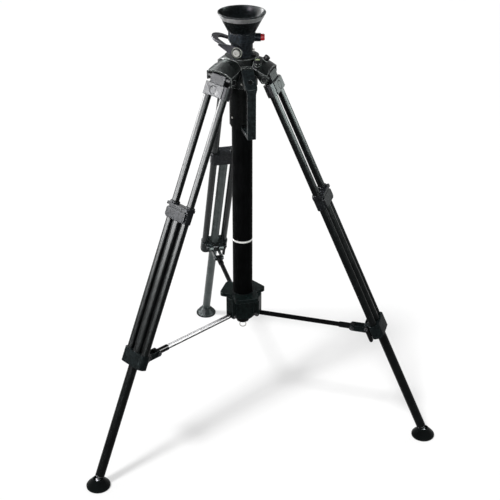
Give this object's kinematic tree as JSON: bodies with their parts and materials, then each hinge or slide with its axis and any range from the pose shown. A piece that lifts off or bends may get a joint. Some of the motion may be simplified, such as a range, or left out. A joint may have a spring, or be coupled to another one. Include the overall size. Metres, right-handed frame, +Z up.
{
  "type": "video_tripod",
  "caption": "Black video tripod with a levelling bowl, a rising centre column with a carry handle, twin-tube telescoping legs, a folding spreader and rubber feet",
  "frame": {"origin": "centre of the bowl's rim, on the column axis", "axes": "+Z up the column, one leg points along +Y, and the carry handle is on the -Y side"},
  "size_m": [0.9074, 0.7937, 1.088],
  "materials": {
    "black_casting": "satin",
    "dark_casting": "satin",
    "blue_grey_casting": "satin",
    "violet_casting": "satin",
    "grey_casting": "satin",
    "black_tube": "satin",
    "gloss_black": "gloss",
    "bail_metal": "satin",
    "steel": "brushed",
    "black_plastic": "matte",
    "white_plastic": "matte",
    "red_plastic": "gloss",
    "level_glass": "clear",
    "foot_rubber": "satin"
  },
  "bodies": {
    "stand": {"shoulder_casting": "black_casting", "column_housing": "black_casting", "column_tube": "black_tube", "limit_ring": "white_plastic", "column_end_cap": "black_plastic", "carry_handle": "black_plastic", "handle_screw": "steel", "column_clamp": "black_casting", "bail_bolts": "steel", "level_housing": "black_plastic", "level_vial": "level_glass", "pivot_bolts": "steel"},
    "column": {"bowl": "black_casting", "neck_collar": "dark_casting", "inner_column": "black_tube", "column_bush": "white_plastic"},
    "plunger": {"release_plunger": "red_plastic"},
    "bail": {"bail_lever": "bail_metal"},
    "knob": {"shoulder_knob": "black_plastic"},
    "ballast": {"ballast_ring": "steel"},
    "hub": {"hub_body": "dark_casting", "hub_bush": "white_plastic", "arm_pins": "steel"},
    "arm_a": {"arm_rod_a": "gloss_black", "arm_sleeve_a": "black_plastic"},
    "leg_a": {"leg_knuckle_a": "violet_casting", "leg_block_a": "grey_casting", "outer_tubes_a": "black_tube", "leg_clamp_a": "dark_casting", "clamp_bolts_a": "steel"},
    "lower_leg_a": {"slider_a": "blue_grey_casting", "centre_tube_a": "black_tube", "ankle_a": "steel"},
    "foot_a": {"foot_a": "foot_rubber"},
    "lever_a": {"clamp_lever_a": "black_plastic"},
    "arm_b": {"arm_rod_b": "gloss_black", "arm_sleeve_b": "black_plastic"},
    "leg_b": {"leg_knuckle_b": "violet_casting", "leg_block_b": "grey_casting", "outer_tubes_b": "black_tube", "leg_clamp_b": "dark_casting", "clamp_bolts_b": "steel"},
    "lower_leg_b": {"slider_b": "blue_grey_casting", "centre_tube_b": "black_tube", "ankle_b": "steel"},
    "foot_b": {"foot_b": "foot_rubber"},
    "lever_b": {"clamp_lever_b": "black_plastic"},
    "arm_c": {"arm_rod_c": "gloss_black", "arm_sleeve_c": "black_plastic"},
    "leg_c": {"leg_knuckle_c": "violet_casting", "leg_block_c": "grey_casting", "outer_tubes_c": "black_tube", "leg_clamp_c": "dark_casting", "clamp_bolts_c": "steel"},
    "lower_leg_c": {"slider_c": "blue_grey_casting", "centre_tube_c": "black_tube", "ankle_c": "steel"},
    "foot_c": {"foot_c": "foot_rubber"},
    "lever_c": {"clamp_lever_c": "black_plastic"}
  },
  "joints": [
    {"name": "column_lift", "type": "slide", "parent": "stand", "child": "column", "axis": [0, 0, 1], "range_m": [0, 0.3]},
    {"name": "plunger_press", "type": "slide", "parent": "column", "child": "plunger", "axis": [-0.9703, 0.2419, 0], "range_m": [0, 0.004], "stiffness_N_per_m": 300},
    {"name": "bail_turn", "type": "hinge", "parent": "stand", "child": "bail", "pos_m": [0, 0, -0.086], "axis": [-0.5299, -0.848, 0], "range_deg": [-16, 14]},
    {"name": "knob_turn", "type": "hinge", "parent": "stand", "child": "knob", "pos_m": [0.04803, -0.0224, -0.1115], "axis": [0.5826, -0.2717, 0.766], "range_deg": [-180, 180]},
    {"name": "ring_swing", "type": "hinge", "parent": "stand", "child": "ballast", "pos_m": [0, 0, -0.8229], "axis": [-0.9703, 0.2419, 0], "range_deg": [-60, 60]},
    {"name": "hub_lift", "type": "slide", "parent": "stand", "child": "hub", "axis": [0, 0, 1], "range_m": [0, 0.21218]},
    {"name": "leg_fold_a", "type": "hinge", "parent": "stand", "child": "leg_a", "pos_m": [0, 0.065, -0.143], "axis": [-1, 0, 0], "range_deg": [0, 21]},
    {"name": "leg_fold_b", "type": "hinge", "parent": "stand", "child": "leg_b", "pos_m": [-0.05629, -0.0325, -0.143], "axis": [0.5, -0.866, 0], "range_deg": [0, 21]},
    {"name": "leg_fold_c", "type": "hinge", "parent": "stand", "child": "leg_c", "pos_m": [0.05629, -0.0325, -0.143], "axis": [0.5, 0.866, 0], "range_deg": [0, 21]},
    {"name": "arm_fold_a", "type": "hinge", "parent": "hub", "child": "arm_a", "pos_m": [0, 0.04, -0.788], "axis": [-1, 0, 0], "range_deg": [0, 89.11]},
    {"name": "arm_fold_b", "type": "hinge", "parent": "hub", "child": "arm_b", "pos_m": [-0.03464, -0.02, -0.788], "axis": [0.5, -0.866, 0], "range_deg": [0, 89.11]},
    {"name": "arm_fold_c", "type": "hinge", "parent": "hub", "child": "arm_c", "pos_m": [0.03464, -0.02, -0.788], "axis": [0.5, 0.866, 0], "range_deg": [0, 89.11]},
    {"name": "leg_extend_a", "type": "slide", "parent": "leg_a", "child": "lower_leg_a", "axis": [0, 0.4155, -0.9096], "range_m": [-0.23, 0.3]},
    {"name": "foot_tilt_a", "type": "hinge", "parent": "lower_leg_a", "child": "foot_a", "pos_m": [0, 0.48981, -1.073], "axis": [-1, 0, 0], "range_deg": [-27, 3]},
    {"name": "clamp_turn_a", "type": "hinge", "parent": "leg_a", "child": "lever_a", "pos_m": [0.027, 0.33009, -0.77389], "axis": [-1, 0, 0], "range_deg": [0, 90]},
    {"name": "leg_extend_b", "type": "slide", "parent": "leg_b", "child": "lower_leg_b", "axis": [-0.3598, -0.2077, -0.9096], "range_m": [-0.23, 0.3]},
    {"name": "foot_tilt_b", "type": "hinge", "parent": "lower_leg_b", "child": "foot_b", "pos_m": [-0.42418, -0.2449, -1.073], "axis": [0.5, -0.866, 0], "range_deg": [-27, 3]},
    {"name": "clamp_turn_b", "type": "hinge", "parent": "leg_b", "child": "lever_b", "pos_m": [-0.29937, -0.14166, -0.77389], "axis": [0.5, -0.866, 0], "range_deg": [0, 90]},
    {"name": "leg_extend_c", "type": "slide", "parent": "leg_c", "child": "lower_leg_c", "axis": [0.3598, -0.2077, -0.9096], "range_m": [-0.23, 0.3]},
    {"name": "foot_tilt_c", "type": "hinge", "parent": "lower_leg_c", "child": "foot_c", "pos_m": [0.42418, -0.2449, -1.073], "axis": [0.5, 0.866, 0], "range_deg": [-27, 3]},
    {"name": "clamp_turn_c", "type": "hinge", "parent": "leg_c", "child": "lever_c", "pos_m": [0.27237, -0.18843, -0.77389], "axis": [0.5, 0.866, 0], "range_deg": [0, 90]}
  ],
  "couplings": [
    {"joint": "leg_fold_b", "follows": "leg_fold_a", "ratio": 1},
    {"joint": "leg_fold_c", "follows": "leg_fold_a", "ratio": 1},
    {"joint": "hub_lift", "follows": "leg_fold_a", "m_per_rad": 0.5789},
    {"joint": "arm_fold_a", "follows": "leg_fold_a", "ratio": 4.2431},
    {"joint": "arm_fold_b", "follows": "leg_fold_a", "ratio": 4.2431},
    {"joint": "arm_fold_c", "follows": "leg_fold_a", "ratio": 4.2431}
  ]
}
